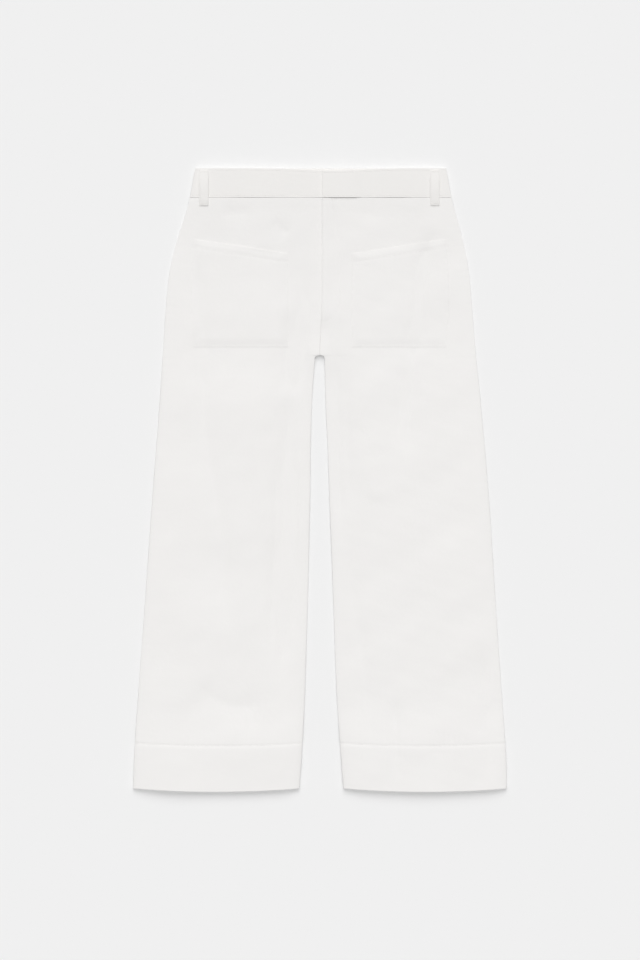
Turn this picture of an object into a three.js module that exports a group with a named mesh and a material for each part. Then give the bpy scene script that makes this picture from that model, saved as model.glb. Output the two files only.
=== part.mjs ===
// Culottes laid flat on a surface with the front up.
// Millimetres: X across, Y towards the waist, Z up from the surface that they lie on.
// Right and left are the wearer's, so the right leg is on the -X side.
import * as THREE from 'three'

// Driving sizes
const totalLength = 934.5
const waistbandDepth = 44
const crotchDepth = 280
const hemDepth = 69
const clothWall = 1.2
const doubledWall = 2
const seamGap = 0.3

// Heights that follow from them
const waistTop = totalLength / 2
const waistSeam = waistTop - waistbandDepth
const crotch = waistTop - crotchDepth
const hemEdge = -totalLength / 2
const hemLine = hemEdge + hemDepth

// Outline from the hem to the waist, a row for each height: both side seams and the centre front
const outline = [
  { y: hemEdge, rightSide: -280, leftSide: 280, centre: 0 },
  { y: -420, rightSide: -278.5, leftSide: 279, centre: 0 },
  { y: -330, rightSide: -273, leftSide: 273, centre: 0 },
  { y: -180, rightSide: -262, leftSide: 263, centre: 0 },
  { y: -30, rightSide: -251.5, leftSide: 253.5, centre: 0 },
  { y: 120, rightSide: -240, leftSide: 240.5, centre: 0 },
  { y: 195, rightSide: -235, leftSide: 233, centre: 0 },
  { y: 270, rightSide: -230, leftSide: 227, centre: 3 },
  { y: 320, rightSide: -224, leftSide: 222, centre: 3 },
  { y: 370, rightSide: -211, leftSide: 211.5, centre: 3 },
  { y: 400, rightSide: -201, leftSide: 203, centre: 3 },
  { y: waistSeam, rightSide: -195, leftSide: 197, centre: 3 },
  { y: waistTop, rightSide: -187, leftSide: 189, centre: 3 },
]

// Inseams from the hem to the crotch, a row for each height
const inseams = [
  { y: hemEdge, right: -31, left: 35 },
  { y: -420, right: -27.5, left: 31.5 },
  { y: -330, right: -23, left: 25.5 },
  { y: -180, right: -18.5, left: 20 },
  { y: -30, right: -15, left: 14.3 },
  { y: 50, right: -14, left: 11.5 },
  { y: 120, right: -12, left: 8.3 },
  { y: crotch, right: -7.5, left: 7 },
]

// Lie of the cloth, a row for each height: underside of the back, top of the front along its seams,
// and how far the front stands above that along its middle
const lie = [
  { y: hemEdge, backUnder: 0, frontEdge: 4.3, loft: 3.6 },
  { y: hemLine, backUnder: 0, frontEdge: 4.3, loft: 3.4 },
  { y: -340, backUnder: 0, frontEdge: 2.8, loft: 3.3 },
  { y: 0, backUnder: 0, frontEdge: 2.7, loft: 3 },
  { y: 200, backUnder: 0, frontEdge: 2.7, loft: 3 },
  { y: 350, backUnder: 0, frontEdge: 2.8, loft: 3.2 },
  { y: 400, backUnder: 1.6, frontEdge: 4.6, loft: 3 },
  { y: waistSeam, backUnder: 1.9, frontEdge: 5.4, loft: 2.8 },
]

// Largest folds of the front, a row for each straight stretch; a negative depth is a ridge
const folds = [
  { fromX: -12, fromY: 292, toX: -27, toY: 195, width: 14, depth: 1.2 },
  { fromX: -180, fromY: 340, toX: -178, toY: 97, width: 18, depth: 0.6 },
  { fromX: -178, fromY: 97, toX: -145, toY: -190, width: 20, depth: 0.7 },
  { fromX: -45, fromY: 143, toX: -45, toY: -188, width: 15, depth: 1.2 },
  { fromX: -45, fromY: -188, toX: -52, toY: -315, width: 15, depth: 0.7 },
  { fromX: -150, fromY: -340, toX: -115, toY: -355, width: 30, depth: 0.7 },
  { fromX: -97, fromY: 165, toX: -88, toY: -98, width: 18, depth: -0.5 },
  { fromX: 158, fromY: 345, toX: 140, toY: 216, width: 14, depth: 0.8 },
  { fromX: 140, fromY: 216, toX: 135, toY: 97, width: 14, depth: 0.5 },
  { fromX: 28, fromY: 180, toX: 30, toY: -30, width: 12, depth: 0.6 },
  { fromX: 50, fromY: -100, toX: 95, toY: -400, width: 32, depth: 0.8 },
]

// Shape of the seams and edges
const sideRoll = 58
const crotchOpening = 85
const crotchArch = 6
const hemBow = 5
const hemBowReach = 250
const backInset = 1

// Fly and waist
const flyBottom = 237
const flyRise = 1
const flyRoll = 22
const underlap = { left: -12, right: 33, wall: 1.2, gap: 0.5 }
const waistDip = { x: 20, halfWidth: 60, depth: 4 }
const waistLap = 32
const band = { backUnder: 1.5, loft: 3 }

// Patch pockets, given on the left: mouth from outer to inner, and the bottom
const pocket = { outerX: 190, innerX: 47, outerTop: 361, innerTop: 339, bottom: 199, wall: 1.2, gap: 0.4 }
const pocketHem = { share: 0.15, wall: 1.8 }
const pocketBow = 5

// Belt loops
const loop = { width: 14, top: 464, bottom: 411, wall: 1.2, arch: 2 }
const frontLoopX = { right: -174, left: 172 }
const backLoopX = 0

// Cloth materials
const cloth = { color: 0xedebe8, roughness: 0.9, metalness: 0 }
const trim = { color: 0xe9e7e4, roughness: 0.9, metalness: 0 }

// Smooth step from 0 at the start to 1 at the end
function ease(value, start, end) {
  return THREE.MathUtils.smoothstep((value - start) / (end - start), 0, 1)
}

// A smooth curve through one column of a table whose rows rise in y: cubic pieces that
// take their slope at each row from the rows on both sides of it
function columnOf(rows, name) {
  const last = rows.length - 1
  const slopes = rows.map((row, i) => {
    const before = rows[Math.max(i - 1, 0)]
    const after = rows[Math.min(i + 1, last)]
    return (after[name] - before[name]) / (after.y - before.y)
  })
  return (y) => {
    const at = THREE.MathUtils.clamp(y, rows[0].y, rows[last].y)
    let i = 0
    while (i < last - 1 && rows[i + 1].y < at) i += 1
    const span = rows[i + 1].y - rows[i].y
    const t = (at - rows[i].y) / span
    const startWeight = (1 + 2 * t) * (1 - t) ** 2
    const endWeight = t * t * (3 - 2 * t)
    const bend = slopes[i] * t * (1 - t) ** 2 - slopes[i + 1] * t * t * (1 - t)
    return startWeight * rows[i][name] + endWeight * rows[i + 1][name] + span * bend
  }
}

const centreAt = columnOf(outline, 'centre')
const backUnderAt = columnOf(lie, 'backUnder')
const frontEdgeAt = columnOf(lie, 'frontEdge')
const loftAt = columnOf(lie, 'loft')
const legs = {
  right: { sideAt: columnOf(outline, 'rightSide'), inseamAt: columnOf(inseams, 'right') },
  left: { sideAt: columnOf(outline, 'leftSide'), inseamAt: columnOf(inseams, 'left') },
}

// Inner edge of a leg: the centre seam above the crotch, an arch just below it, then the inseam
function innerAt(leg, y) {
  if (y >= crotch) return centreAt(y)
  const drop = Math.min((crotch - y) / crotchArch, 1)
  return leg.inseamAt(y) * Math.sqrt(1 - (1 - drop) ** 2)
}

// Quarter ellipse: 0 at an edge, 1 from the roll's width inwards
function roll(distance, width) {
  const t = THREE.MathUtils.clamp(distance / width, 0, 1)
  return Math.sqrt(1 - (1 - t) ** 2)
}

// Depth of the folds at a point: each is a soft trough about a straight stretch
function foldDepth(x, y) {
  const point = new THREE.Vector3(x, y, 0)
  return folds.reduce((sum, fold) => {
    const from = new THREE.Vector3(fold.fromX, fold.fromY, 0)
    const to = new THREE.Vector3(fold.toX, fold.toY, 0)
    const nearest = new THREE.Line3(from, to).closestPointToPoint(point, true, new THREE.Vector3())
    const away = nearest.distanceTo(point) / fold.width
    return sum + fold.depth * Math.exp(-away * away)
  }, 0)
}

// Top of the front at a point of one leg: its seam height, raised over the middle and lowered in the folds
function frontTop(leg, x, y) {
  const sideRise = roll(Math.abs(leg.sideAt(y) - x), sideRoll)
  const innerRise = roll(Math.abs(x - innerAt(leg, y)), sideRoll)
  const open = ease(y, crotch, crotch + crotchOpening)
  const rise = sideRise * (open + (1 - open) * innerRise)
  const folded = foldDepth(x, y) * sideRise * innerRise
  return frontEdgeAt(y) + loftAt(y) * rise - folded
}

// Extra height of the left front where it laps over the fly
function flyLift(x, y) {
  const across = Math.exp(-(((x - centreAt(y)) / flyRoll) ** 2))
  return flyRise * across * ease(y, flyBottom - 12, flyBottom + 12)
}

// The hem is a shallow curve, lowest in the middle of the leg
function bowed(y, u) {
  const reach = ease(y, hemEdge + hemBowReach, hemEdge)
  return y + hemBow * reach * (2 * u - 1) ** 2
}

// A closed wall from a grid of columns and rows; pointAt gives x, y, top and under for each
function wall(columns, rows, pointAt) {
  const positions = []
  const faces = []
  const across = columns.length
  const count = across * rows.length
  const points = rows.flatMap((row) => columns.map((column) => pointAt(column, row)))
  points.forEach((p) => positions.push(p.x, p.y, p.top))
  points.forEach((p) => positions.push(p.x, p.y, p.under))
  const quad = (a, b, c, d) => faces.push(a, b, c, a, c, d)
  for (let j = 0; j < rows.length - 1; j += 1) {
    for (let i = 0; i < across - 1; i += 1) {
      const a = j * across + i
      const d = a + across
      quad(a, a + 1, d + 1, d)
      quad(count + a, count + d, count + d + 1, count + a + 1)
    }
  }
  const rim = []
  for (let i = 0; i < across; i += 1) rim.push(i)
  for (let j = 1; j < rows.length; j += 1) rim.push(j * across + across - 1)
  for (let i = across - 2; i >= 0; i -= 1) rim.push((rows.length - 1) * across + i)
  for (let j = rows.length - 2; j > 0; j -= 1) rim.push(j * across)
  rim.forEach((a, k) => {
    const b = rim[(k + 1) % rim.length]
    quad(a, count + a, count + b, b)
  })
  const geometry = new THREE.BufferGeometry()
  geometry.setAttribute('position', new THREE.Float32BufferAttribute(positions, 3))
  geometry.setIndex(faces)
  geometry.computeVertexNormals()
  return geometry
}

// Evenly spaced values from start to end
function steps(start, end, count) {
  return Array.from({ length: count + 1 }, (_, i) => start + ((end - start) * i) / count)
}

// Values from 0 to 1 that crowd towards both ends
function crowded(count) {
  return steps(0, Math.PI, count).map((angle) => (1 - Math.cos(angle)) / 2)
}

const group = new THREE.Group()

function addPiece(name, geometry, look) {
  const piece = new THREE.Mesh(geometry, new THREE.MeshStandardMaterial(look))
  piece.name = name
  group.add(piece)
}

// Rows of a leg from the hem to the waist seam, with the hem fold and the crotch arch marked out
const hemFold = 1.5
const archRows = [0.03, 0.25, 0.6, 1].map((share) => crotch - crotchArch * share).reverse()
const legRows = [
  hemEdge,
  ...steps(hemEdge + 30, hemLine, 1),
  hemLine + hemFold,
  ...steps(hemLine + 15, -340, 2),
  ...steps(-300, crotch - 20, 10),
  ...archRows,
  crotch,
  ...steps(crotch + 8, crotch + 60, 4),
  ...steps(crotch + 85, 350, 3),
  ...steps(372, waistSeam - seamGap, 3),
]

const wallAt = (y) => (y < hemLine + hemFold / 2 ? doubledWall : clothWall)

// x of a leg's grid, which runs from -X to +X: the right leg starts at its side, the left at its inner edge
function legX(side, u, y, inset) {
  const leg = legs[side]
  const outwards = side === 'left' ? 1 : -1
  const outer = leg.sideAt(y) - outwards * inset
  const seamRoom = y >= crotch ? seamGap / 2 : inset
  const inner = innerAt(leg, y) + outwards * seamRoom
  return side === 'left' ? THREE.MathUtils.lerp(inner, outer, u) : THREE.MathUtils.lerp(outer, inner, u)
}

// Front legs: the wall hangs below the front's top, and is doubled by the turned-up hem
function frontLeg(side) {
  return wall(crowded(14), legRows, (u, rowY) => {
    const x = legX(side, u, rowY, 0)
    const lap = side === 'left' ? flyLift(x, rowY) : 0
    const top = frontTop(legs[side], x, rowY) + lap
    return { x, y: bowed(rowY, u), top, under: top - wallAt(rowY) }
  })
}

// Back legs lie flat, and rise only to meet the waistband
function backLeg(side) {
  return wall(crowded(6), legRows, (u, rowY) => {
    const x = legX(side, u, rowY, backInset)
    const under = backUnderAt(rowY)
    return { x, y: bowed(rowY, u), top: under + wallAt(rowY), under }
  })
}

addPiece('front_right_leg', frontLeg('right'), cloth)
addPiece('front_left_leg', frontLeg('left'), cloth)
addPiece('back_right_leg', backLeg('right'), cloth)
addPiece('back_left_leg', backLeg('left'), cloth)

// Fly underlap: a strip that follows the underside of the fronts across the centre
const underlapRows = steps(flyBottom, waistSeam - seamGap, 6)
const underlapWall = wall(steps(underlap.left, underlap.right, 5), underlapRows, (x, y) => {
  const leg = x < centreAt(y) ? legs.right : legs.left
  const top = frontTop(leg, x, y) - clothWall - underlap.gap
  return { x, y, top, under: top - underlap.wall }
})
addPiece('fly_underlap', underlapWall, cloth)

// Waistband: the front stands above the back by a gap at the sides and by its loft in the middle
const bandFrontEdge = band.backUnder + doubledWall + seamGap + doubledWall
const bandRows = [waistSeam, (waistSeam + waistTop) / 2, waistTop]

function bandTop(x, y) {
  const side = x < centreAt(y) ? legs.right.sideAt(y) : legs.left.sideAt(y)
  return bandFrontEdge + band.loft * roll(Math.abs(side - x), sideRoll)
}

// The front's top edge dips a little at the centre
function dipped(x, y) {
  const share = (y - waistSeam) / waistbandDepth
  return y - waistDip.depth * share * Math.exp(-(((x - waistDip.x) / waistDip.halfWidth) ** 2))
}

// The left end rides up over the right end, which runs on below it
function lapRise(x, y) {
  const inside = x - centreAt(y) - waistLap
  return (doubledWall + seamGap) * ease(inside, 34, 12)
}

function frontBand(fromX, toX, riseAt) {
  return wall(crowded(16), bandRows, (u, y) => {
    const x = THREE.MathUtils.lerp(fromX(y), toX(y), u)
    const top = bandTop(x, y) + riseAt(x, y)
    return { x, y: dipped(x, y), top, under: top - doubledWall }
  })
}

const rightEnd = (y) => centreAt(y) + waistLap
const leftEnd = (y) => centreAt(y) + seamGap / 2
addPiece('waistband_front_right', frontBand(legs.right.sideAt, rightEnd, () => 0), trim)
addPiece('waistband_front_left', frontBand(leftEnd, legs.left.sideAt, lapRise), trim)

const backBand = wall(steps(0, 1, 10), bandRows, (u, y) => {
  const x = THREE.MathUtils.lerp(legs.right.sideAt(y) + backInset, legs.left.sideAt(y) - backInset, u)
  return { x, y, top: band.backUnder + doubledWall, under: band.backUnder }
})
addPiece('waistband_back', backBand, trim)

// Patch pockets: a wall on the front's own surface, thicker along its hemmed mouth
const hemShare = 1 - pocketHem.share
const pocketShares = [0, 0.2, 0.4, 0.6, 0.75, hemShare - 0.01, hemShare + 0.01, 1]

function patchPocket(side) {
  const outwards = side === 'left' ? 1 : -1
  return wall(steps(0, 1, 9), pocketShares, (u, v) => {
    const fromInner = side === 'left' ? u : 1 - u
    const bow = pocketBow * Math.sin(Math.PI * v) * fromInner ** 4
    const x = outwards * (THREE.MathUtils.lerp(pocket.innerX, pocket.outerX, fromInner) + bow)
    const mouth = THREE.MathUtils.lerp(pocket.innerTop, pocket.outerTop, fromInner)
    const y = THREE.MathUtils.lerp(pocket.bottom, mouth, v)
    const thick = v > hemShare ? pocketHem.wall : pocket.wall
    const lap = side === 'left' ? flyLift(x, y) : 0
    const under = frontTop(legs[side], x, y) + lap + pocket.gap
    return { x, y, top: under + thick, under }
  })
}

addPiece('pocket_right', patchPocket('right'), cloth)
addPiece('pocket_left', patchPocket('left'), cloth)

// Belt loops: a strip sewn down at both ends, arched off the waistband between them where it has room
function beltLoop(centreX, surfaceAt, outwards, archHeight) {
  const halfWidth = loop.width / 2
  const columns = steps(centreX - halfWidth, centreX + halfWidth, 2)
  return wall(columns, steps(loop.bottom, loop.top, 14), (x, y) => {
    const along = (y - loop.bottom) / (loop.top - loop.bottom)
    const arch = archHeight * Math.sin(Math.PI * along) ** 0.5
    const near = surfaceAt(x, y) + outwards * (seamGap + arch)
    const far = near + outwards * loop.wall
    return { x, y, top: Math.max(near, far), under: Math.min(near, far) }
  })
}

// Surface below a front loop: the band, easing down to the leg just under the waist seam
function frontSurface(x, y) {
  const leg = x < 0 ? legs.right : legs.left
  const onBand = ease(y, waistSeam - 6, waistSeam - 1)
  return THREE.MathUtils.lerp(frontTop(leg, x, y), bandTop(x, Math.max(y, waistSeam)), onBand)
}

addPiece('belt_loop_right', beltLoop(frontLoopX.right, frontSurface, 1, loop.arch), trim)
addPiece('belt_loop_left', beltLoop(frontLoopX.left, frontSurface, 1, loop.arch), trim)
addPiece('belt_loop_back', beltLoop(backLoopX, () => band.backUnder, -1, 0), trim)

export default group
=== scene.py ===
# Culottes in off-white cotton twill, laid flat with the front up.
# Sizes are in millimetres, X across, Y towards the waist, Z up; meshes are turned to metres at the end.
# Right and left are the wearer's, so the right leg is on the -X side.
import math

import bpy
import numpy as np
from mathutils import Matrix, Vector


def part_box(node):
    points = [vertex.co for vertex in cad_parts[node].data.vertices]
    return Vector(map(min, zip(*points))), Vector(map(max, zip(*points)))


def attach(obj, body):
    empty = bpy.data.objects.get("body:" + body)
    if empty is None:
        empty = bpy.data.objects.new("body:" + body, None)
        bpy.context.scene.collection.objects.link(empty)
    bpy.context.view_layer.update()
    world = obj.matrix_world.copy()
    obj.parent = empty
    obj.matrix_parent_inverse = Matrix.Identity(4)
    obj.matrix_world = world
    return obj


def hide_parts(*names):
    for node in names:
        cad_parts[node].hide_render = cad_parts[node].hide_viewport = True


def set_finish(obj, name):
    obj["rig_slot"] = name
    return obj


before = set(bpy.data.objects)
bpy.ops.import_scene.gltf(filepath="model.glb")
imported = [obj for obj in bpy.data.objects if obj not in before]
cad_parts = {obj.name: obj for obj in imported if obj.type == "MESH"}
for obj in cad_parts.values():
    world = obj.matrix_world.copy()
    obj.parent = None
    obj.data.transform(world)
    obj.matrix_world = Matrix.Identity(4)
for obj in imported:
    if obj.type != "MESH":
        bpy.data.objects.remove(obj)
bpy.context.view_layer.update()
metre = 0.001


# the corners of a solid's box, in millimetres
def nodeBox(node):
    low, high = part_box(node)
    return np.array(low) / metre, np.array(high) / metre


# Heights taken from the frame
waistTop = nodeBox("waistband_back")[1][1]
hemEdge = nodeBox("front_right_leg")[0][1]
waistSeam = nodeBox("waistband_back")[0][1]
bandDepth = waistTop - waistSeam
pocketBottom = nodeBox("pocket_left")[0][1]

garment = {
    "crotchDepth": 280.0,
    "hemDepth": 69.0,
    "wall": 1.2,  # one layer of twill
    "doubled": 2.0,  # hems and waistband
    "edgeRadius": 0.6,  # how soon a cut or folded edge rounds over
    "edgeShare": 0.2,  # how deep in the wall its rim lies
    "sideRoll": 58.0,  # how far in from a seam the front takes to rise
    "crotchOpening": 85.0,  # how far above the crotch the two legs' fronts become one
    "crotchArch": 6.0,  # height of the arch where the inseams meet
    "crotchLift": 2.6,  # the crotch point stands up off the back
    "hemBow": 5.0,  # how much lower the hem is in its middle
    "hemBowReach": 250.0,  # how far up that bends the cloth
    "legLift": 2.2,  # how far the cloth stands proud of its solid along the legs
    "hemLift": 2.6,
    "backInset": 1.0,  # the back stops just inside the front's outline
    "layerGap": 0.25,  # least room between front and back
    "softStop": 0.12,  # how softly a crease stops there
    "crestRound": 4.0,  # radius at the bottom of a crease
    "swayLength": 37.0,  # how slowly a crease sways
    "rippleHeight": 0.5,
    "rippleLength": 95.0,
    "fineRippleHeight": 0.1,
    "fineRippleLength": 32.0,
    "waistRise": 0.5,  # the legs rise this much to meet the waistband
    "waistRiseReach": 25.0,
    "stitchDip": 0.35,
    "stitchDipWidth": 1.6,
    "hemFullness": 0.3,
}
crotch = waistTop - garment["crotchDepth"]
hemLine = hemEdge + garment["hemDepth"]

# Outline from the hem to the waist: height, both side seams, centre front
outlineRows = np.array(
    [
        (hemEdge, -280, 280, 0),
        (-420, -278.5, 279, 0),
        (-330, -273, 273, 0),
        (-180, -262, 263, 0),
        (-30, -251.5, 253.5, 0),
        (120, -240, 240.5, 0),
        (195, -235, 233, 0),
        (270, -230, 227, 3),
        (320, -224, 222, 3),
        (370, -211, 211.5, 3),
        (400, -201, 203, 3),
        (waistSeam, -195, 197, 3),
        (waistTop, -187, 189, 3),
    ]
)

# Inseams from the hem to the crotch: height, right, left
inseamRows = np.array(
    [
        (hemEdge, -31, 35),
        (-420, -27.5, 31.5),
        (-330, -23, 25.5),
        (-180, -18.5, 20),
        (-30, -15, 14.3),
        (50, -14, 11.5),
        (120, -12, 8.3),
        (crotch, -7.5, 7),
    ]
)

# Lie of the cloth: height, underside of the back, top of the front at its seams, rise of its middle
lieRows = np.array(
    [
        (hemEdge, 0, 4.3, 3.6),
        (hemLine, 0, 4.3, 3.4),
        (-340, 0, 2.8, 3.3),
        (0, 0, 2.7, 3),
        (200, 0, 2.7, 3),
        (350, 0, 2.8, 3.2),
        (400, 1.6, 4.6, 3),
        (waistSeam, 1.9, 5.4, 2.8),
    ]
)


# A smooth curve through one column of a table: cubic pieces whose slope at a row is
# the chord between the rows on both sides of it.
def smoothColumn(rows, column):
    heights, values = rows[:, 0], rows[:, column]
    slopes = np.empty(len(rows))
    slopes[1:-1] = (values[2:] - values[:-2]) / (heights[2:] - heights[:-2])
    slopes[0] = (values[1] - values[0]) / (heights[1] - heights[0])
    slopes[-1] = (values[-1] - values[-2]) / (heights[-1] - heights[-2])

    def at(y):
        y = np.clip(y, heights[0], heights[-1])
        i = np.clip(np.searchsorted(heights, y, side="left") - 1, 0, len(rows) - 2)
        span = heights[i + 1] - heights[i]
        t = (y - heights[i]) / span
        bend = slopes[i] * t * (1 - t) ** 2 - slopes[i + 1] * t * t * (1 - t)
        ends = (1 + 2 * t) * (1 - t) ** 2 * values[i] + t * t * (3 - 2 * t) * values[i + 1]
        return ends + span * bend

    return at


sideAt = {"right": smoothColumn(outlineRows, 1), "left": smoothColumn(outlineRows, 2)}
centreAt = smoothColumn(outlineRows, 3)
inseamAt = {"right": smoothColumn(inseamRows, 1), "left": smoothColumn(inseamRows, 2)}
backUnderAt = smoothColumn(lieRows, 1)
frontEdgeAt = smoothColumn(lieRows, 2)
loftAt = smoothColumn(lieRows, 3)
outward = {"right": -1, "left": 1}
seeds = {
    "right": {"ripple": 4, "fine": 6, "side": 13, "inner": 15},
    "left": {"ripple": 3, "fine": 5, "side": 12, "inner": 14},
    "hem": 11,
    "waist": 16,
    "backHem": 17,
    "backInner": 18,
    "back": 8,
    "band": 21,
    "pocketMouth": 31,
    "pocketEdge": 32,
}


# smooth step from 0 at the start to 1 at the end
def ease(value, start, end):
    t = np.clip((value - start) / (end - start), 0, 1)
    return t * t * (3 - 2 * t)


# quarter ellipse: 0 at an edge, 1 from the width inwards
def roll(distance, width):
    t = np.clip(distance / width, 0, 1)
    return np.sqrt(1 - (1 - t) ** 2)


# bell curve, 1 at distance 0
def bump(distance, width):
    return np.exp(-((distance / width) ** 2))


# the centre seam above the crotch, an arch just below it, then the inseam
def innerAt(side, y):
    drop = np.clip((crotch - y) / garment["crotchArch"], 0, 1)
    below = inseamAt[side](y) * np.sqrt(1 - (1 - drop) ** 2)
    return np.where(y >= crotch, centreAt(y), below)


# soft unevenness of cloth: a sum of sine waves in seeded directions, about 1 high
def ripple(x, y, seed, length, count=7):
    draw = np.random.default_rng(seed)
    total = np.zeros(np.broadcast(x, y).shape)
    for angle, phase, stretch in draw.uniform((0, 0, 0.7), (math.pi, 2 * math.pi, 1.6), (count, 3)):
        wave = 2 * math.pi / (length * stretch)
        total = total + np.sin(wave * (x * math.cos(angle) + y * math.sin(angle)) + phase)
    return total / math.sqrt(count)


# A soft trough along a path of points. Its section falls off exponentially with the distance
# from the path, rounded at the bottom, with one width on each side of the path, and it
# fades in and out over the given shares of its run. The path sways by a slow sine across its run.
def crease(x, y, path, widths, depth, sway=0.0, fade=(0.3, 0.3)):
    path = np.asarray(path, float)
    lengths = np.hypot(*np.diff(path, axis=0).T)
    best = np.full(np.broadcast(x, y).shape, np.inf)
    offset, run = np.zeros_like(best), np.zeros_like(best)
    for start, end, before, length in zip(path[:-1], path[1:], np.cumsum(lengths) - lengths, lengths):
        way = (end - start) / length
        along = np.clip((x - start[0]) * way[0] + (y - start[1]) * way[1], 0, length)
        awayX = x - start[0] - along * way[0]
        awayY = y - start[1] - along * way[1]
        away = np.hypot(awayX, awayY)
        closer = away < best
        best = np.where(closer, away, best)
        offset = np.where(closer, np.sign(way[0] * awayY - way[1] * awayX) * away, offset)
        run = np.where(closer, (before + along) / lengths.sum(), run)
    offset = offset + sway * np.sin(y / garment["swayLength"])
    width = np.where(offset > 0, widths[0], widths[1])
    crest = garment["crestRound"]
    fall = np.exp(-(np.sqrt(offset**2 + crest**2) - crest) / width)
    return depth * fall * ease(run, 0, fade[0]) * ease(run, 1, 1 - fade[1])


# Main creases of the front, listed one by one: points from the top, widths to the left and right of the
# path, depth, sway, and the shares of the run over which it fades. A negative depth is a ridge.
# Left of a path that runs down is the +X side.
frontCreases = [
    {
        "path": [(-4, 345), (-13, 285), (-24, 215), (-40, 120)],
        "widths": (10, 17),
        "depth": 4.4,
        "sway": 1,
        "fade": (0.7, 0.3),
    },
    {"path": [(-188, 370), (-178, 230), (-168, 50)], "widths": (15, 12), "depth": 3.0, "sway": 2},
    {
        "path": [(-174, 140), (-156, -30), (-142, -130), (-138, -240)],
        "widths": (20, 24),
        "depth": 2.6,
        "sway": 3,
    },
    {"path": [(-160, -80), (-144, -150), (-136, -235)], "widths": (18, 16), "depth": 1.0, "sway": 2},
    {"path": [(-30, 230), (-46, 60), (-47, -130), (-54, -390)], "widths": (14, 22), "depth": 4.4, "sway": 2},
    {"path": [(-34, 130), (-38, -60), (-38, -280)], "widths": (5, 7), "depth": 1.7, "sway": 1},
    {"path": [(-52, 90), (-54, -120), (-62, -350)], "widths": (5, 6), "depth": 1.9, "sway": 2},
    {"path": [(-66, 60), (-68, -90), (-76, -290)], "widths": (7, 6), "depth": 1.5, "sway": 1},
    {
        "path": [(-16, 335), (-30, 240), (-44, 110)],
        "widths": (6, 8),
        "depth": 2.0,
        "sway": 1,
        "fade": (0.7, 0.3),
    },
    {"path": [(-50, 260), (-46, 200), (-56, 120)], "widths": (6, 9), "depth": 1.3, "sway": 0},
    {"path": [(14, 225), (20, 60), (24, -70)], "widths": (5, 6), "depth": 1.5, "sway": 1},
    {"path": [(40, 190), (42, 60), (46, -40)], "widths": (7, 5), "depth": 1.2, "sway": 1},
    {"path": [(-186, 240), (-182, 150), (-170, 40)], "widths": (6, 7), "depth": 1.5, "sway": 1},
    {"path": [(124, 190), (120, 110), (122, 40)], "widths": (6, 8), "depth": 1.2, "sway": 1},
    {"path": [(-262, -60), (-268, -200), (-272, -380)], "widths": (5, 7), "depth": 0.9, "sway": 1},
    {
        "path": [(-194, -300), (-164, -325), (-134, -338), (-106, -340), (-76, -332)],
        "widths": (26, 34),
        "depth": 2.6,
        "sway": 0,
    },
    {"path": [(-98, 170), (-94, 20), (-86, -105)], "widths": (16, 22), "depth": -1.6, "sway": 2},
    {"path": [(-225, -60), (-232, -200)], "widths": (12, 16), "depth": -0.9, "sway": 2},
    {"path": [(172, 385), (157, 330), (150, 275), (138, 170)], "widths": (8, 12), "depth": 3.6, "sway": 1},
    {"path": [(142, 250), (136, 150), (132, 20)], "widths": (12, 18), "depth": 3.0, "sway": 1},
    {"path": [(18, 240), (27, 80), (32, -130)], "widths": (14, 9), "depth": 4.0, "sway": 0},
    {"path": [(36, -40), (58, -220), (84, -450)], "widths": (30, 26), "depth": 3.0, "sway": 2},
    {"path": [(70, 40), (82, -40)], "widths": (24, 20), "depth": -1.2, "sway": 2},
    {"path": [(190, -60), (205, -220)], "widths": (26, 20), "depth": -1.2, "sway": 3},
    {"path": [(112, -310), (117, -455)], "widths": (7, 8), "depth": 1.8, "sway": 1},
    {"path": [(240, -230), (252, -350), (258, -465)], "widths": (10, 15), "depth": 2.4, "sway": 0},
    {"path": [(-74, 391), (-44, 366)], "widths": (6, 9), "depth": 0.8, "sway": 0},
    {"path": [(-105, 346), (-58, 334)], "widths": (6, 9), "depth": 0.7, "sway": 0},
    {"path": [(50, 401), (140, 391)], "widths": (9, 12), "depth": 0.6, "sway": 0},
    {"path": [(-150, 398), (-100, 404)], "widths": (10, 9), "depth": 0.7, "sway": 0},
]

# Creases of the back, which lift off what the garment lies on
backCreases = [
    {"path": [(30, 300), (24, 250), (14, 205)], "widths": (9, 14), "depth": 1.4, "sway": 1},
    {"path": [(-34, 310), (-22, 250), (-15, 210)], "widths": (12, 8), "depth": 1.1, "sway": 1},
    {"path": [(-150, 250), (-158, 60), (-150, -110)], "widths": (15, 20), "depth": 1.1, "sway": 3},
    {"path": [(-96, 150), (-100, -60), (-94, -280)], "widths": (10, 16), "depth": 1.6, "sway": 2},
    {"path": [(-170, -290), (-120, -330)], "widths": (22, 30), "depth": 1.0, "sway": 0},
    {"path": [(80, 150), (86, -20), (100, -180)], "widths": (16, 11), "depth": 1.4, "sway": 2},
    {"path": [(168, 200), (160, 40), (172, -160)], "widths": (20, 15), "depth": 1.1, "sway": 3},
    {"path": [(120, -250), (130, -380)], "widths": (12, 15), "depth": 0.9, "sway": 1},
]


# what the creases of a table come to at each point
def allCreases(x, y, table):
    total = np.zeros(np.broadcast(x, y).shape)
    for row in table:
        total = total + crease(x, y, **row)
    return total


fly = {
    "bottom": 237.0,  # where the curved stitching meets the centre front
    "turn": 275.0,  # where it starts to curve
    "width": 27.0,
    "topWidth": 15.0,  # narrower at the waist seam
    "foldRise": 1.0,
    "foldReach": 22.0,
    "foldWidth": 9.0,
    "foldCrest": 0.5,
    "trough": 0.4,  # the dip beside the fold
    "edgeTrough": 0.5,  # the right front's dip beside the fold
    "stitchDip": 0.3,
    "fade": 12.0,  # how gradually the fly starts at its bottom
}


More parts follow.
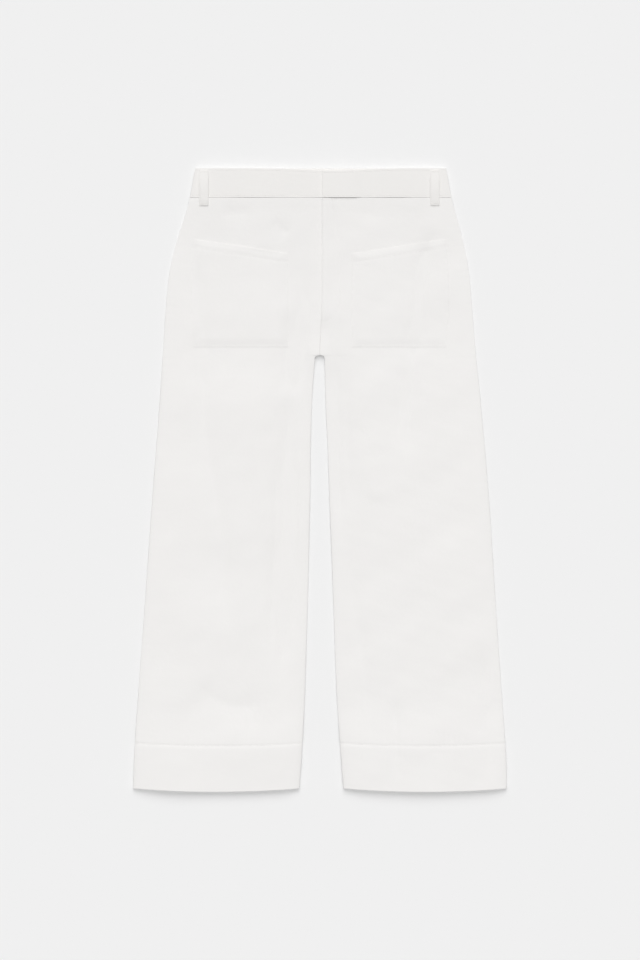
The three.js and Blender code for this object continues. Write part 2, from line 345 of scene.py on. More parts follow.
# The fly's stitching: beside the centre front from the waist seam, wider below, then a
# quarter ellipse into the centre front.
def flyStitchPath(count=60):
    down = np.linspace(waistSeam - 2, fly["turn"], count)
    straight = fly["width"] - (fly["width"] - fly["topWidth"]) * ease(down, 345, waistSeam)
    angle = np.linspace(0, math.pi / 2, count // 2)[1:]
    curveX = fly["width"] * np.cos(angle)
    curveY = fly["turn"] - (fly["turn"] - fly["bottom"]) * np.sin(angle)
    y = np.concatenate([down, curveY])
    x = centreAt(y) + np.concatenate([straight, curveX])
    return np.stack([x, y], 1)


# distance from each point to a polyline
def nearestTo(x, y, path):
    best = np.full(np.broadcast(x, y).shape, np.inf)
    for start, end in zip(path[:-1], path[1:]):
        run = end - start
        along = ((x - start[0]) * run[0] + (y - start[1]) * run[1]) / (run @ run)
        along = np.clip(along, 0, 1)
        best = np.minimum(best, np.hypot(x - start[0] - along * run[0], y - start[1] - along * run[1]))
    return best


# Small waves along a stitched seam: they fade with the distance across it, and their
# length and height wander along it.
def pucker(across, along, reach, length, seed):
    wander = ripple(along, along * 0.0, seed, 60.0, 4)
    wave = np.sin(2 * math.pi * along / length + 1.8 * wander)
    return wave * (0.6 + 0.4 * wander) * np.exp(-np.abs(across) / reach)


# Top of the front: its seam height, raised over its middle by quarter ellipses from the side
# and the inner edge, lowered in the creases, with the fly, hem line and seams pressed in.
def frontZ(side, x, y):
    sideGap = np.abs(sideAt[side](y) - x)
    innerGap = np.abs(x - innerAt(side, y))
    sideRise = roll(sideGap, garment["sideRoll"])
    innerRise = roll(innerGap, garment["sideRoll"])
    opened = ease(y, crotch, crotch + garment["crotchOpening"])
    rise = sideRise * (opened + (1 - opened) * innerRise)
    lift = garment["legLift"] * ease(y, crotch + 40, crotch - 80)
    lift = lift + (garment["hemLift"] - garment["legLift"]) * ease(y, hemLine + 60, hemLine)
    held = sideRise * innerRise
    z = frontEdgeAt(y) + (loftAt(y) + lift) * rise
    z = z + garment["waistRise"] * ease(y, waistSeam - garment["waistRiseReach"], waistSeam) * sideRise
    z = z + garment["crotchLift"] * bump(x, 24) * bump(y - crotch, 26)
    z = z - allCreases(x, y, frontCreases) * held
    seed = seeds[side]
    z = z + garment["rippleHeight"] * held * ripple(x, y, seed["ripple"], garment["rippleLength"])
    z = z + garment["fineRippleHeight"] * held * ripple(x, y, seed["fine"], garment["fineRippleLength"])
    # creases stop softly where they would reach the back
    lowest = backZ(side, x, y) + 2 * legWall(y) + garment["layerGap"]
    z = lowest + garment["softStop"] * np.logaddexp(0, (z - lowest) / garment["softStop"])
    # hem: the cloth dips along the stitch line and stands a little fuller below it
    fromLine = y - hemLine
    z = z - garment["stitchDip"] * bump(fromLine, garment["stitchDipWidth"])
    z = z + garment["hemFullness"] * ease(fromLine, 0, -6) * sideRise
    # seams: height, distance across, place along, reach, length and seed of each row of puckers
    z = z + 0.2 * pucker(fromLine, x, 7.0, 8.5, seeds["hem"]) * sideRise
    z = z + 0.16 * pucker(sideGap, y, 9.0, 11.0, seed["side"])
    z = z + 0.14 * pucker(innerGap, y, 8.0, 10.0, seed["inner"])
    z = z + 0.2 * pucker(waistSeam - y, x, 6.0, 9.0, seeds["waist"]) * sideRise
    # fly: the left front laps over with a raised fold, then dips as far as the curved stitching
    inFly = ease(y, fly["bottom"] - fly["fade"], fly["bottom"] + fly["fade"])
    fromCentre = x - centreAt(y)
    if side == "left":
        z = z + inFly * fly["foldRise"] * bump(fromCentre, fly["foldReach"])
        z = z + inFly * fly["foldCrest"] * bump(fromCentre - 5, fly["foldWidth"] / 2)
        z = z - inFly * fly["trough"] * bump(fromCentre - 18, 6)
        z = z - fly["stitchDip"] * bump(nearestTo(x, y, flyStitchPath(24)), 1.5)
    else:
        z = z - inFly * fly["edgeTrough"] * bump(fromCentre + 6, 6)
    return z


# Outer face of the back: it lies flat, lifts in its creases, along the centre seam and
# beside the stitched seams, and never sinks below what it lies on.
def backZ(side, x, y):
    sideGap = np.abs(sideAt[side](y) - x)
    innerGap = np.abs(x - innerAt(side, y))
    held = roll(sideGap, garment["sideRoll"]) * roll(innerGap, garment["sideRoll"])
    z = np.maximum(backUnderAt(y), 0) + allCreases(x, y, backCreases) * held
    z = z + 0.3 * held * (1 + 0.5 * ripple(x, y, seeds["back"], 90.0)).clip(0, 2)
    z = z + 0.45 * bump(y - hemLine, 1.6) + 0.5 * bump(innerGap, 1.5) * (y > crotch)
    z = z + 0.12 * (1 + pucker(y - hemLine, x, 7.0, 8.5, seeds["backHem"]))
    z = z + 0.1 * (1 + pucker(innerGap, y, 8.0, 10.0, seeds["backInner"]))
    return z


edgeSteps = 6  # grid lines across a rounded edge
edgeReach = 1.6  # their reach, in edge radii


# Places along a row of the given length: close together where the edge rounds over at both
# ends, evenly spaced between. Returns shares of the way and offsets, so that ends can move.
def spread(length, step, edge):
    near = edgeReach * edge * (1 - np.cos(np.linspace(0, math.pi / 2, edgeSteps)))
    count = max(int(length / step), 2)
    even = np.linspace(0, 1, count + 1)[1:-1]
    shares = np.concatenate([np.zeros(edgeSteps), even, np.ones(edgeSteps)])
    offsets = np.concatenate([near, edgeReach * edge * (1 - 2 * even), -near[::-1]])
    return shares, offsets


# Heights from the first mark to the last: evenly spaced by the step, closer beside
# each mark, with rounding rows at both ends.
def gradedRows(marks, step, fine, edge):
    near = edgeReach * edge * (1 - np.cos(np.linspace(0, math.pi / 2, edgeSteps)))
    rows = list(marks[0] + near)
    for low, high in zip(marks[:-1], marks[1:]):
        reach = min(6 * fine, (high - low) / 3)
        rows += list(np.arange(low, low + reach, fine))
        count = max(int((high - low - 2 * reach) / step), 2)
        rows += list(np.linspace(low + reach, high - reach, count + 1))
        rows += list(np.arange(high, high - reach, -fine))
    rows += list(marks[-1] - near)
    rows = np.sort([r for r in rows if marks[0] <= r <= marks[-1]])
    keep = np.concatenate([[True], np.diff(rows) > fine * 0.12])
    return rows[keep]


# Puts whole arrays of vertices (millimetres) and a list of face arrays into a mesh, with a
# UV map that holds the cloth's own flat coordinates in metres.
def makeObject(name, verts, faces, weave=None):
    mesh = bpy.data.meshes.new(name)
    corners = np.concatenate([part.ravel() for part in faces]).astype(np.int32)
    sizes = np.concatenate([np.full(len(part), part.shape[1]) for part in faces])
    mesh.vertices.add(len(verts))
    mesh.vertices.foreach_set("co", (verts * metre).astype(np.float32).ravel())
    mesh.loops.add(len(corners))
    mesh.loops.foreach_set("vertex_index", corners)
    mesh.polygons.add(len(sizes))
    mesh.polygons.foreach_set("loop_start", (np.cumsum(sizes) - sizes).astype(np.int32))
    mesh.polygons.foreach_set("use_smooth", np.ones(len(sizes), bool))
    mesh.update(calc_edges=True)
    if weave is not None:
        layer = mesh.uv_layers.new(name="weave")
        layer.data.foreach_set("uv", (weave[corners] * metre).astype(np.float32).ravel())
    mesh.validate()
    piece = bpy.data.objects.new(name, mesh)
    bpy.context.scene.collection.objects.link(piece)
    return piece


# 1 over the middle of a grid, falling to 0 along its rim as a quarter circle falls.
def edgeRound(x, y):
    def fromEnds(a, b, axis):
        steps = np.hypot(np.diff(a, axis=axis), np.diff(b, axis=axis))
        start = np.cumsum(np.insert(steps, 0, 0, axis=axis), axis=axis)
        total = np.take(start, [-1], axis=axis)
        return np.minimum(start, total - start)

    nearest = np.minimum(fromEnds(x, y, 0), fromEnds(x, y, 1))
    return roll(nearest, garment["edgeRadius"])


# A closed sheet of cloth from grids of its outer face. Both faces draw together along the rim
# as a folded edge does, and share the rim's vertices.
def clothPiece(name, x, y, z, wall, outerUp=True, weaveTurn=0.0):
    thin = wall * (1 - edgeRound(x, y))
    direction = 1 if outerUp else -1
    share = garment["edgeShare"]
    outer = np.stack([x, y, z - direction * share * thin], -1).reshape(-1, 3)
    inner = np.stack([x, y, z - direction * (wall - (1 - share) * thin)], -1)[1:-1, 1:-1].reshape(-1, 3)
    rows, columns = x.shape
    index = np.arange(rows * columns).reshape(rows, columns)
    back = index.copy()
    back[1:-1, 1:-1] = rows * columns + np.arange((rows - 2) * (columns - 2)).reshape(rows - 2, columns - 2)

    def cells(grid, flip):
        # four-sided cells; the corner ones are split from the corner inwards, so no edge is used twice
        around = np.stack([grid[:-1, :-1], grid[:-1, 1:], grid[1:, 1:], grid[1:, :-1]], -1)
        inside = np.ones(around.shape[:2], bool)
        inside[[0, 0, -1, -1], [0, -1, 0, -1]] = False
        starts = [np.roll(around[i, j], -k) for i, j, k in ((0, 0, 0), (0, -1, 1), (-1, -1, 2), (-1, 0, 3))]
        halves = np.concatenate([np.array(starts)[:, [0, 1, 2]], np.array(starts)[:, [0, 2, 3]]])
        order = -1 if flip else 1
        return [around[inside][:, ::order], halves[:, ::order]]

    faces = cells(index, not outerUp) + cells(back, outerUp)
    verts = np.concatenate([outer, inner])
    c, s = math.cos(weaveTurn), math.sin(weaveTurn)
    weave = np.stack([verts[:, 0] * c + verts[:, 1] * s, verts[:, 1] * c - verts[:, 0] * s], 1)
    return makeObject(name, verts, faces, weave)


# thickness of a leg's cloth: one layer, going over to two by a smooth step at the hem line
def legWall(y):
    return garment["wall"] + (garment["doubled"] - garment["wall"]) * ease(y, hemLine + 1.2, hemLine - 0.6)


# the hem is a shallow curve, lowest in the middle of the leg
def bowed(y, share):
    reach = ease(y, hemEdge + garment["hemBowReach"], hemEdge)
    return y + garment["hemBow"] * reach * (2 * share - 1) ** 2


# Grid of a leg panel, right to left and hem to waist: the side seam on one hand, the centre
# seam or the inseam on the other.
def legGrid(side, step, rowStep, inset):
    marks = [hemEdge, hemLine, crotch - garment["crotchArch"], crotch, waistSeam - 0.1]
    rows = gradedRows(marks, rowStep, 0.9, garment["edgeRadius"])
    shares, offsets = spread(249, step, garment["edgeRadius"])
    y = np.repeat(rows[:, None], len(shares), 1)
    outer = sideAt[side](y) - outward[side] * inset
    room = np.where(y >= crotch, 0.02, inset)
    inner = innerAt(side, y) + outward[side] * room
    low, high = (inner, outer) if side == "left" else (outer, inner)
    x = low * (1 - shares) + high * shares + offsets
    share = (x - low) / (high - low)
    return x, y, bowed(y, share)


pieces = {}


# ties a piece to the body, in place of its solid where it has one, and names its material slot
def addPiece(piece, node, slot):
    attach(piece, "root")
    if node:
        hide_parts(node)
    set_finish(piece, slot)
    pieces[piece.name] = piece


print("legs")
for side in ("right", "left"):
    x, y, bent = legGrid(side, 2.4, 3.0, 0.0)
    z = frontZ(side, x, y)
    piece = clothPiece(f"front_{side}", x, bent, z, legWall(y))
    addPiece(piece, f"front_{side}_leg", "twill")

for side in ("right", "left"):
    x, y, bent = legGrid(side, 4.0, 5.0, garment["backInset"])
    z = backZ(side, x, y)
    piece = clothPiece(f"back_{side}", x, bent, z, legWall(y), outerUp=False)
    addPiece(piece, f"back_{side}_leg", "twill")

print("waistband")
band = {
    "backUnder": 1.5,
    "loft": 3.0,
    "lap": 32.0,  # how far the right end runs on under the left one
    "layerGap": 0.3,
    "dipX": 20.0,  # where the front's top edge dips most
    "dipWidth": 60.0,
    "dipDepth": 4.0,
    "stitchInset": 3.0,
    "stitchDip": 0.12,
}
bandFrontEdge = band["backUnder"] + 2 * garment["doubled"] + band["layerGap"]


# top of the band: a quarter ellipse in from the side seams, with a dip along both rows of stitches
def bandZ(x, y):
    side = np.where(x < centreAt(y), sideAt["right"](y), sideAt["left"](y))
    rise = roll(np.abs(side - x), garment["sideRoll"])
    z = bandFrontEdge + band["loft"] * rise
    z = z + 0.25 * rise * ripple(x, y * 0.4, seeds["band"], 70.0)
    fromSeam = y - waistSeam - band["stitchInset"]
    fromTop = waistTop - band["stitchInset"] - y
    return z - band["stitchDip"] * (bump(fromSeam, 1.4) + bump(fromTop, 1.4))


# the left end steps up over the right one by a smooth step
def lapRise(x, y):
    return (garment["doubled"] + band["layerGap"]) * ease(x - centreAt(y) - band["lap"], 34, 12)


# the top edge dips as a bell curve and the waist seam stays straight
def dipped(x, y):
    share = (y - waistSeam) / bandDepth
    return y - band["dipDepth"] * share * bump(x - band["dipX"], band["dipWidth"])


# grid of a waistband piece between two end lines
def bandGrid(fromX, toX, step):
    rows = gradedRows([waistSeam + 0.1, waistTop], 2.6, 0.6, garment["edgeRadius"])
    shares, offsets = spread(198, step, garment["edgeRadius"])
    y = np.repeat(rows[:, None], len(shares), 1)
    x = fromX(y) * (1 - shares) + toX(y) * shares + offsets
    return x, y


x, y = bandGrid(sideAt["right"], lambda h: centreAt(h) + band["lap"], 2.4)
piece = clothPiece("waistband_right", x, dipped(x, y), bandZ(x, y), garment["doubled"], weaveTurn=math.pi / 2)
addPiece(piece, "waistband_front_right", "waist_twill")
x, y = bandGrid(lambda h: centreAt(h) + 0.15, sideAt["left"], 2.4)
z = bandZ(x, y) + lapRise(x, y)
piece = clothPiece("waistband_left", x, dipped(x, y), z, garment["doubled"], weaveTurn=math.pi / 2)
addPiece(piece, "waistband_front_left", "waist_twill")
x, y = bandGrid(lambda h: sideAt["right"](h) + 1, lambda h: sideAt["left"](h) - 1, 4.0)
z = np.full(x.shape, band["backUnder"])
piece = clothPiece("waistband_rear", x, y, z, garment["doubled"], outerUp=False, weaveTurn=math.pi / 2)
addPiece(piece, "waistband_back", "waist_twill")

print("pockets")
pocket = {
    "outerX": 190.0,
    "innerX": 47.0,
    "outerTop": 361.0,
    "innerTop": 339.0,
    "wall": 1.2,
    "bow": 5.0,
    "hemDepth": 12.0,
    "height": 150.0,  # roughly, to space its rows
    # how far the mouth stands off the leg: height, place and reach along the mouth
    "gape": {"right": (1.0, 0.3, 0.34), "left": (0.6, 0.72, 0.26)},
    "gapeDepth": 8.0,
    "thinEdge": 0.16,  # the pressed edge, as a share of the wall
    "thinReach": 14.0,
    "clearance": 0.06,
}
pocketWidth = pocket["outerX"] - pocket["innerX"]


# A point of a patch pocket: u from its inner to its outer edge, v from its bottom to its mouth.
# The outer edge bows out, the mouth slopes, and the mouth stands off the leg in its middle.
def pocketPoint(side, u, v):
    bow = pocket["bow"] * np.sin(math.pi * v) * u**4
    x = outward[side] * (pocket["innerX"] + (pocket["outerX"] - pocket["innerX"]) * u + bow)
    mouth = pocket["innerTop"] + (pocket["outerTop"] - pocket["innerTop"]) * u
    y = pocketBottom + (mouth - pocketBottom) * v
    fromEdge = np.minimum(np.minimum(u, 1 - u) * pocketWidth, y - pocketBottom)
    fromEdge = np.minimum(fromEdge, mouth - y + 4)
    thick = pocket["thinEdge"] + (1 - pocket["thinEdge"]) * ease(fromEdge, 0, pocket["thinReach"])
    wall = pocket["wall"] * thick
    z = frontZ(side, x, y) + wall + pocket["clearance"]
    fromMouth = mouth - y
    height, place, reach = pocket["gape"][side]
    along = bump(u - place, reach) * np.sin(math.pi * np.clip(u, 0, 1)) ** 0.4
    z = z + height * along * np.exp(-fromMouth / pocket["gapeDepth"])
    z = z - garment["stitchDip"] * bump(fromMouth - pocket["hemDepth"], garment["stitchDipWidth"])
    z = z + 0.18 * pucker(fromMouth - pocket["hemDepth"], x, 6.0, 8.0, seeds["pocketMouth"])
    z = z + 0.12 * pucker(np.minimum(u, 1 - u) * pocketWidth, y, 6.0, 9.0, seeds["pocketEdge"])
    return x, y, z, wall


for side in ("right", "left"):
    shares, offsets = spread(pocketWidth, 2.4, garment["edgeRadius"])
    u = shares + offsets / pocketWidth
    if side == "right":
        u = 1 - u
    shares, offsets = spread(pocket["height"], 2.4, garment["edgeRadius"])
    v = shares + offsets / pocket["height"]
    v, u = np.meshgrid(v, u, indexing="ij")
    x, y, z, wall = pocketPoint(side, u, v)
    piece = clothPiece(f"pocket_{side}_patch", x, y, z, wall)
    addPiece(piece, f"pocket_{side}", "twill")

print("belt loops and fly underlap")
loop = {
    "width": 14.0,
    "top": 464.0,
    "bottom": 411.0,
    "wall": 1.0,
    "arch": 1.8,  # how far its middle stands off the waistband
    "crown": 0.3,
    "clearance": 0.1,
    "rightX": -174.0,
    "leftX": 172.0,
}


# height of whatever lies on top: the legs, then the waistband above the seam
def frontSurface(x, y):
    side = "right" if np.mean(x) < 0 else "left"
    onBand = ease(y, waistSeam - 6, waistSeam - 1)
    return frontZ(side, x, y) * (1 - onBand) + bandZ(x, np.maximum(y, waistSeam)) * onBand


# grid of a loop: distance across it and height
def loopGrid():
    rows = gradedRows([loop["bottom"], loop["top"]], 1.6, 0.5, garment["edgeRadius"])
    shares, offsets = spread(loop["width"], 1.3, garment["edgeRadius"])
    across = loop["width"] * (shares - 0.5) + offsets
    y, across = np.meshgrid(rows, across, indexing="ij")
    return across, y


# a loop arches over the waistband between its two ends and is a little fuller along its middle
def loopPoint(side, across, y):
    along = np.clip((y - loop["bottom"]) / (loop["top"] - loop["bottom"]), 0, 1)
    x = loop[side + "X"] + across
    arch = loop["arch"] * np.sin(math.pi * along)
    crown = loop["crown"] * (1 - (2 * across / loop["width"]) ** 2)
    return np.stack([x, y, frontSurface(x, y) + loop["clearance"] + loop["wall"] + arch + crown], -1)


for side in ("right", "left"):
    across, y = loopGrid()
    x, y, z = np.moveaxis(loopPoint(side, across, y), -1, 0)
    piece = clothPiece(f"loop_{side}", x, y, z, loop["wall"])
    addPiece(piece, f"belt_loop_{side}", "waist_twill")
across, y = loopGrid()
piece = clothPiece("loop_rear", across, y, np.zeros(y.shape), loop["wall"], outerUp=False)
addPiece(piece, "belt_loop_back", "waist_twill")

underlap = {"gap": 0.6, "seamGap": 0.3}
lapLow, lapHigh = nodeBox("fly_underlap")
across = np.linspace(lapLow[0], lapHigh[0], 24)
x, y = np.meshgrid(across, np.linspace(fly["bottom"], waistSeam - underlap["seamGap"], 60))
z = frontZ("right", np.minimum(x, 0), y) - garment["wall"] - underlap["gap"]
piece = clothPiece("fly_underlap_strip", x, y, z, garment["wall"])
addPiece(piece, "fly_underlap", "twill")

print("stitches")
thread = {
    "radius": 0.24,
    "pitch": 3.4,
    "tackPitch": 1.2,
    "share": 0.78,  # length of a stitch, as a share of the pitch
    "rings": 5,
    "sides": 6,
    "proud": 0.12,
}
sewn = {}


# Rows of stitches along paths of points, joined in one mesh. Each stitch is a short round thread
# whose middle stands proud of the cloth and whose ends thin out and dip into it.
def stitchRow(name, onPiece, paths, pitch=thread["pitch"]):
    t = np.linspace(0, 1, thread["rings"])
    turn = np.arange(thread["sides"]) * 2 * math.pi / thread["sides"]
    allVerts, allFaces, base = [], [], 0
    for points in paths:
        points = np.asarray(points, float)
        run = np.insert(np.cumsum(np.linalg.norm(np.diff(points, axis=0), axis=1)), 0, 0)
        count = max(int(run[-1] / pitch), 1)
        starts = (np.arange(count) + 0.11) * run[-1] / count
        at = starts[:, None] + t * thread["share"] * run[-1] / count
        centre = np.stack([np.interp(at, run, points[:, k]) for k in range(3)], -1)
        centre[..., 2] += thread["proud"] + (thread["radius"] * 1.5) * (np.sin(math.pi * t) ** 0.6 - 0.8)
        along = centre[:, -1] - centre[:, 0]
        along = along / np.linalg.norm(along, axis=1)[:, None]
        across = np.stack([-along[:, 1], along[:, 0], np.zeros(count)], -1)
        thick = thread["radius"] * (0.55 + 0.45 * np.sin(math.pi * t))[None, :, None, None]
        ring = across[:, None, None] * np.cos(turn)[None, None, :, None]
        ring = ring + np.array([0, 0, 1.0]) * np.sin(turn)[None, None, :, None]
        verts = centre[:, :, None] + ring * thick
        index = base + np.arange(count * len(t) * len(turn)).reshape(count, len(t), len(turn))
        ahead = np.roll(index, -1, axis=2)
        tube = np.stack([index[:, :-1], ahead[:, :-1], ahead[:, 1:], index[:, 1:]], -1)
        allFaces.append(tube.reshape(-1, 4))
        for ringIndex, order in ((index[:, 0], -1), (index[:, -1], 1)):
            allFaces.append(ringIndex[:, [0, 1, 2, 3]][:, ::order])
            allFaces.append(ringIndex[:, [0, 3, 4, 5]][:, ::order])
        allVerts.append(verts.reshape(-1, 3))
        base += index.size
    verts = np.concatenate(allVerts)
    piece = makeObject(name, verts, allFaces, verts[:, :2])
    addPiece(piece, "", pieces[onPiece]["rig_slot"])
    sewn.setdefault(onPiece, []).append(piece)


# points on top of a front, moved to the bowed height where one is given
def onFront(side, x, y, bentY=None):
    return np.stack([x, y if bentY is None else bentY, frontZ(side, x, y)], 1)


for side in ("right", "left"):
    share = np.linspace(0.004, 0.996, 160)
    y = np.full(160, hemLine)
    inner = innerAt(side, y)
    x = inner + (sideAt[side](y) - inner) * share
    stitchRow(f"hem_stitch_front_{side}", f"front_{side}", [onFront(side, x, y, bowed(y, share))])
    x = inner + outward[side] + (sideAt[side](y) - inner - 2 * outward[side]) * share
    under = np.stack([x, bowed(y, share), backZ(side, x, y) - 0.25], 1)
    stitchRow(f"hem_stitch_back_{side}", f"back_{side}", [under])

flyPath = flyStitchPath(60)
edgeY = np.linspace(waistSeam - 2, fly["bottom"] - 20, 60)
flyRows = [onFront("left", flyPath[:, 0], flyPath[:, 1]), onFront("left", centreAt(edgeY) + 2, edgeY)]
stitchRow("fly_stitch", "front_left", flyRows)

bandRows = {"right": [], "left": []}
for y in (waistSeam + band["stitchInset"], waistTop - band["stitchInset"]):
    x = np.linspace(sideAt["right"](y) + 2, centreAt(y) - 1, 120)
    flat = np.full(120, y)
    bandRows["right"].append(np.stack([x, dipped(x, flat), bandZ(x, flat)], 1))
    x = np.linspace(centreAt(y) + 2, sideAt["left"](y) - 2, 120)
    bandRows["left"].append(np.stack([x, dipped(x, flat), bandZ(x, flat) + lapRise(x, flat)], 1))
for side in ("right", "left"):
    stitchRow(f"waist_stitch_{side}", f"waistband_{side}", bandRows[side])

for side in ("right", "left"):
    s = np.linspace(0, 1, 60)
    edge = 2.0 / pocketWidth
    innerRow = (edge + 0 * s, 1 - s * 0.99)
    bottomRow = (edge + s * (1 - 2 * edge), 0.013 + 0 * s)
    outerRow = (1 - edge + 0 * s, s * 0.99)
    rows = [np.stack(pocketPoint(side, u, v)[:3], 1) for u, v in (innerRow, bottomRow, outerRow)]
    mouth = pocket["innerTop"] + s * (pocket["outerTop"] - pocket["innerTop"])
    top = 1 - pocket["hemDepth"] / (mouth - pocketBottom)
    rows.append(np.stack(pocketPoint(side, s, top)[:3], 1))
    stitchRow(f"pocket_stitch_{side}", f"pocket_{side}_patch", rows)

for side in ("right", "left"):
    rows, tacks = [], []
    for offset in (-5.0, 5.0):
        y = np.linspace(loop["bottom"] + 1, loop["top"] - 1, 40)
        across = np.full(40, offset)
        rows.append(loopPoint(side, across, y))
    for end in (loop["bottom"] + 2.5, loop["top"] - 2.5):
        across = np.linspace(-6, 6, 20)
        tacks.append(loopPoint(side, across, np.full(20, end)))
        tacks.append(loopPoint(side, across, np.full(20, end + 0.8)))
    stitchRow(f"loop_stitch_{side}", f"loop_{side}", rows)
    stitchRow(f"loop_tack_{side}", f"loop_{side}", tacks, thread["tackPitch"])

print("cuts")
# Flat size of each cut as width and length, and what it lies on
cuts = {
    "front_right": (0.283, 0.891, ["back_right"]),
    "front_left": (0.281, 0.891, ["back_left"]),
    "back_right": (0.283, 0.891, []),
    "back_left": (0.281, 0.891, []),
    "waistband_right": (0.230, 0.044, ["waistband_rear"]),
    "waistband_left": (0.196, 0.044, ["waistband_rear", "waistband_right"]),
    "waistband_rear": (0.392, 0.044, []),
    "pocket_right_patch": (0.148, 0.162, ["front_right"]),
    "pocket_left_patch": (0.148, 0.162, ["front_left"]),
    "loop_right": (0.014, 0.053, ["waistband_right", "front_right"]),
    "loop_left": (0.014, 0.053, ["waistband_left", "front_left"]),
    "loop_rear": (0.014, 0.053, []),
    "fly_underlap_strip": (0.045, 0.187, ["front_right"]),
}
for name, (width, length, under) in cuts.items():
    piece = pieces[name]

print("cloth materials")


look = {
    "specular": 0.25,
    "sheen": 0.08,
    "sheenRoughness": 0.6,
    "walesPerMetre": 560.0,
    "waleAngle": 27.0,
    "picksPerMetre": 900.0,
    "weaveDepth": 0.00012,
    "crumpleDepth": 0.0006,
    "crumpleScale": (130.0, 130.0, 130.0),
    "toneScale": (14.0, 14.0, 14.0),
    "toneShade": 0.985,  # the darkest tone, as a share of the colour
    "twill": (0.871, 0.859, 0.847),
    # the waistband and loops are painted a little darker than the legs: painted shade for the less lit top of
    # the garment
    "shadedWaistTwill": (0.852, 0.838, 0.821),
}


# Cotton twill: diagonal wales crossed by the yarns' rows in the cloth's own coordinates,
# uneven yarn thickness, and faint broad changes of tone.
def clothMaterial(name, colour, roughness):
    material = bpy.data.materials.new(name)
    material.use_nodes = True
    nodes, links = material.node_tree.nodes, material.node_tree.links
    shader = nodes["Principled BSDF"]
    shader.inputs["Roughness"].default_value = roughness
    shader.inputs["Specular IOR Level"].default_value = look["specular"]
    shader.inputs["Sheen Weight"].default_value = look["sheen"]
    shader.inputs["Sheen Roughness"].default_value = look["sheenRoughness"]
    uv = nodes.new("ShaderNodeUVMap")
    uv.uv_map = "weave"
    place = nodes.new("ShaderNodeTexCoord")

    def waves(turn, perMetre, distortion):
        mapping = nodes.new("ShaderNodeMapping")
        mapping.inputs["Rotation"].default_value = (0, 0, turn)
        wave = nodes.new("ShaderNodeTexWave")
        wave.inputs["Scale"].default_value = perMetre
        wave.inputs["Distortion"].default_value = distortion
        wave.inputs["Detail"].default_value = 1
        wave.inputs["Detail Scale"].default_value = 2
        links.new(uv.outputs["UV"], mapping.inputs["Vector"])
        links.new(mapping.outputs["Vector"], wave.inputs["Vector"])
        return wave.outputs["Fac"]

    def noise(source, scale, detail, stretch):
        mapping = nodes.new("ShaderNodeMapping")
        mapping.inputs["Scale"].default_value = stretch
        cloud = nodes.new("ShaderNodeTexNoise")
        cloud.inputs["Scale"].default_value = scale
        cloud.inputs["Detail"].default_value = detail
        links.new(source, mapping.inputs["Vector"])
        links.new(mapping.outputs["Vector"], cloud.inputs["Vector"])
        return cloud.outputs["Fac"]

    def blend(kind, a, b):
        node = nodes.new("ShaderNodeMath")
        node.operation = kind
        links.new(a, node.inputs[0])
        if isinstance(b, float):
            node.inputs[1].default_value = b
        else:
            links.new(b, node.inputs[1])
        return node.outputs[0]

    wales = waves(math.radians(look["waleAngle"]), look["walesPerMetre"], 0.6)
    picks = waves(math.radians(90), look["picksPerMetre"], 0.4)
    slubs = noise(uv.outputs["UV"], 1.0, 3.0, (1900.0, 120.0, 1.0))
    crumple = noise(place.outputs["Object"], 1.0, 4.0, look["crumpleScale"])
    weave = blend("MULTIPLY", wales, picks)
    height = blend("ADD", blend("MULTIPLY", weave, 0.5), blend("MULTIPLY", slubs, 0.5))
    fine = nodes.new("ShaderNodeBump")
    fine.inputs["Strength"].default_value = 0.35
    fine.inputs["Distance"].default_value = look["weaveDepth"]
    links.new(height, fine.inputs["Height"])
    soft = nodes.new("ShaderNodeBump")
    soft.inputs["Strength"].default_value = 0.3
    soft.inputs["Distance"].default_value = look["crumpleDepth"]
    links.new(crumple, soft.inputs["Height"])
    links.new(fine.outputs["Normal"], soft.inputs["Normal"])
    links.new(soft.outputs["Normal"], shader.inputs["Normal"])
    tone = nodes.new("ShaderNodeMixRGB")
    tone.inputs["Color1"].default_value = (*[c * look["toneShade"] for c in colour], 1)
    tone.inputs["Color2"].default_value = (*colour, 1)
    broad = noise(place.outputs["Object"], 1.0, 2.0, look["toneScale"])
    mixed = blend("ADD", blend("MULTIPLY", broad, 0.7), blend("MULTIPLY", weave, 0.6))
    links.new(mixed, tone.inputs["Fac"])
    links.new(tone.outputs["Color"], shader.inputs["Base Color"])
    return material


twill = clothMaterial("off_white_twill", look["twill"], 0.9)
# the darker colour of the waistband and loops is painted shade, not a colour of the cloth
shadedWaistTwill = clothMaterial("off_white_twill_painted_shade", look["shadedWaistTwill"], 0.88)
for piece in pieces.values():
    piece.data.materials.append(shadedWaistTwill if piece["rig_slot"] == "waist_twill" else twill)

print("floor, light and camera")
paleGrey = 0.8714

floorMesh = bpy.data.meshes.new("floor")
reach = 6.0
drop = -0.0003
corners = [(-reach, -reach, drop), (reach, -reach, drop), (reach, reach, drop), (-reach, reach, drop)]
floorMesh.from_pydata(corners, [], [(0, 1, 2, 3)])
floor = bpy.data.objects.new("floor", floorMesh)
bpy.context.scene.collection.objects.link(floor)
floorPaint = bpy.data.materials.new("floor_paint")
floorPaint.use_nodes = True
floorShader = floorPaint.node_tree.nodes["Principled BSDF"]
floorShader.inputs["Base Color"].default_value = (paleGrey, paleGrey, paleGrey, 1)
floorShader.inputs["Roughness"].default_value = 1
floorShader.inputs["Specular IOR Level"].default_value = 0
floorMesh.materials.append(floorPaint)

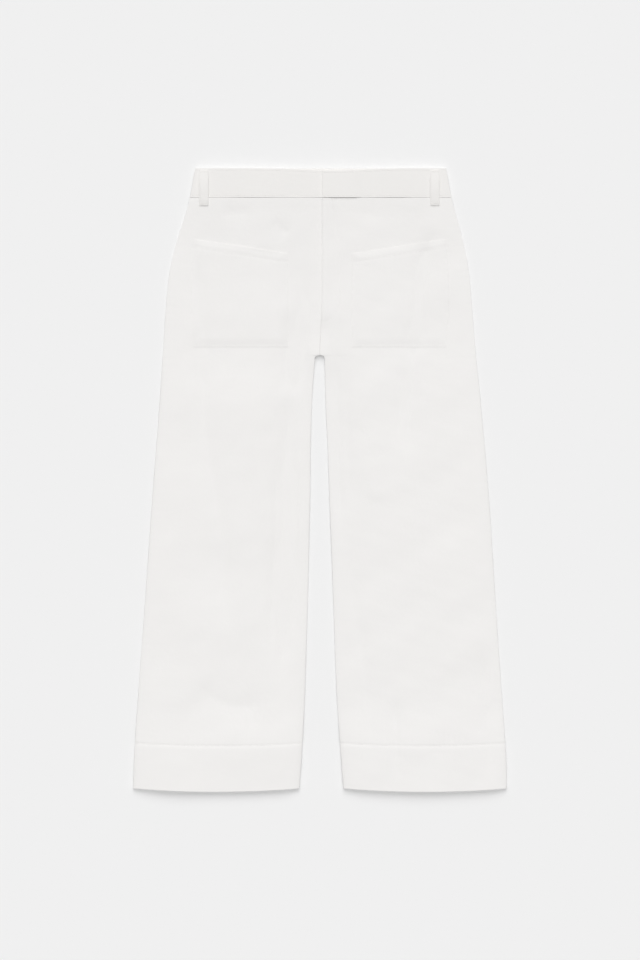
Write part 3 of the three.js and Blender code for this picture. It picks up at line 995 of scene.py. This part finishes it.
light = {
    "overheadSoftness": 12.0,
    "ambient": 0.2,  # even light from all round
    "overhead": 0.42,  # share of the light on level cloth that comes from straight above
    "top": 0.38,  # share that comes from beyond the waist
    "topElevation": 47.0,
    "topSoftness": 50.0,
}


# a sun that gives the stated share of the light on level cloth: share x pi / sine of its elevation
def addSun(name, share, elevation, softness):
    lamp = bpy.data.lights.new(name, "SUN")
    lamp.energy = share * math.pi / math.sin(math.radians(elevation))
    lamp.angle = math.radians(softness)
    sun = bpy.data.objects.new(name, lamp)
    sun.rotation_euler = (math.radians(elevation - 90), 0, 0)
    bpy.context.scene.collection.objects.link(sun)


addSun("overhead", light["overhead"], 90.0, light["overheadSoftness"])
addSun("top", light["top"], light["topElevation"], light["topSoftness"])

world = bpy.data.worlds.new("studio")
bpy.context.scene.world = world
world.use_nodes = True
nodes, links = world.node_tree.nodes, world.node_tree.links
background = nodes["Background"]
path = nodes.new("ShaderNodeLightPath")
seen = nodes.new("ShaderNodeMath")
seen.operation = "MAXIMUM"
links.new(path.outputs["Is Camera Ray"], seen.inputs[0])
links.new(path.outputs["Is Glossy Ray"], seen.inputs[1])
through = nodes.new("ShaderNodeMath")
through.operation = "MAXIMUM"
links.new(seen.outputs[0], through.inputs[0])
links.new(path.outputs["Is Transmission Ray"], through.inputs[1])
strength = nodes.new("ShaderNodeMapRange")
strength.inputs["To Min"].default_value = light["ambient"]
strength.inputs["To Max"].default_value = paleGrey
links.new(through.outputs[0], strength.inputs["Value"])
background.inputs["Color"].default_value = (1, 1, 1, 1)
links.new(strength.outputs["Result"], background.inputs["Strength"])

view = {"height": 6.0, "frameHeight": 1.44, "sensor": 36.0}
cameraData = bpy.data.cameras.new("camera")
cameraData.sensor_width = view["sensor"]
cameraData.lens = view["sensor"] * view["height"] / view["frameHeight"]
cameraData.clip_end = 100
camera = bpy.data.objects.new("camera", cameraData)
camera.location = (0, 0, view["height"])
bpy.context.scene.collection.objects.link(camera)
bpy.context.scene.camera = camera
bpy.context.scene.view_settings.view_transform = "Standard"
